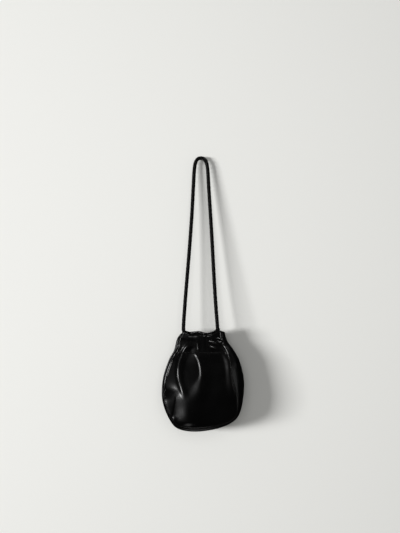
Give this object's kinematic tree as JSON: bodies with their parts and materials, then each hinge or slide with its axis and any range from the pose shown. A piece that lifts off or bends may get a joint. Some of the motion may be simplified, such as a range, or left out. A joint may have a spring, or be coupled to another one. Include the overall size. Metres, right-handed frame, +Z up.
{
  "type": "leather drawstring shoulder pouch",
  "caption": "Soft leather drawstring pouch with gathered mouth and rolled rim, hanging by a long braided cord that is both strap and drawstring.",
  "frame": {"origin": "middle of the strap's bight, where the pouch hangs", "axes": "+X to the right seen from the front, the front faces -Y, +Z up"},
  "size_m": [0.2196, 0.1096, 0.7364],
  "materials": {
    "leather": "smooth semi-gloss black leather with a fine grain",
    "braid": "black leather laces in a round braid, satin"
  },
  "bodies": {
    "root": {"front_panel": "leather", "back_panel": "leather", "gusset": "leather", "front_hem": "leather", "back_hem": "leather", "strap_cord": "braid", "tunnel_cord_front": "braid", "tunnel_cord_back": "braid"}
  },
  "joints": []
}
